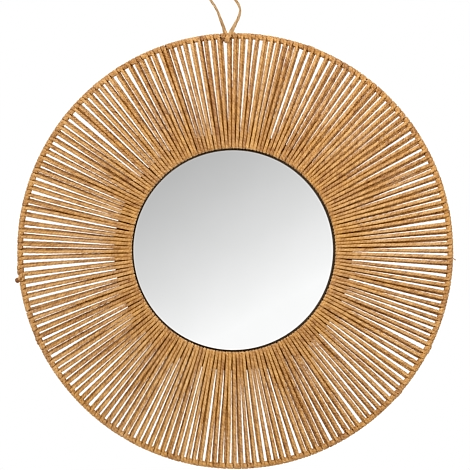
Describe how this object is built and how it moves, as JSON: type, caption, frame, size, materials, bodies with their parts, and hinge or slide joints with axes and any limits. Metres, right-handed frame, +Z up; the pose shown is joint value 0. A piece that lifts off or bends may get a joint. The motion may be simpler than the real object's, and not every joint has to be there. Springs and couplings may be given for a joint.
{
  "type": "wall mirror",
  "caption": "Round wall mirror in a wide sunburst surround of paper cord wound between a small inner hoop and a large outer hoop, on a black backing board, with a twine hanging loop.",
  "frame": {"origin": "on the wall plane under the top of the hanging loop, where the nail or hook is", "axes": "+Z up, +Y into the wall, -Y out of the mirror towards the viewer; the wall is the plane y = 0, which the backing board's rear face lies on"},
  "size_m": [0.55, 0.0184, 0.6155],
  "materials": {
    "paper_cord": "twisted kraft paper cord, golden ochre, dry and matt with a slight sheen along the strands",
    "steel_wire": "plain drawn steel wire, unpolished",
    "mirror_silver": "silvered float glass with a narrow polished edge",
    "black_board": "thin fibreboard painted matt black",
    "loop_twine": "thin folded and twisted paper twine, pale brown, matt"
  },
  "bodies": {
    "root": {"cord_winding": "paper_cord", "outer_hoop": "steel_wire", "inner_hoop": "steel_wire", "mirror_glass": "mirror_silver", "back_board": "black_board", "hanging_loop": "loop_twine", "loop_knot": "loop_twine"}
  },
  "joints": []
}
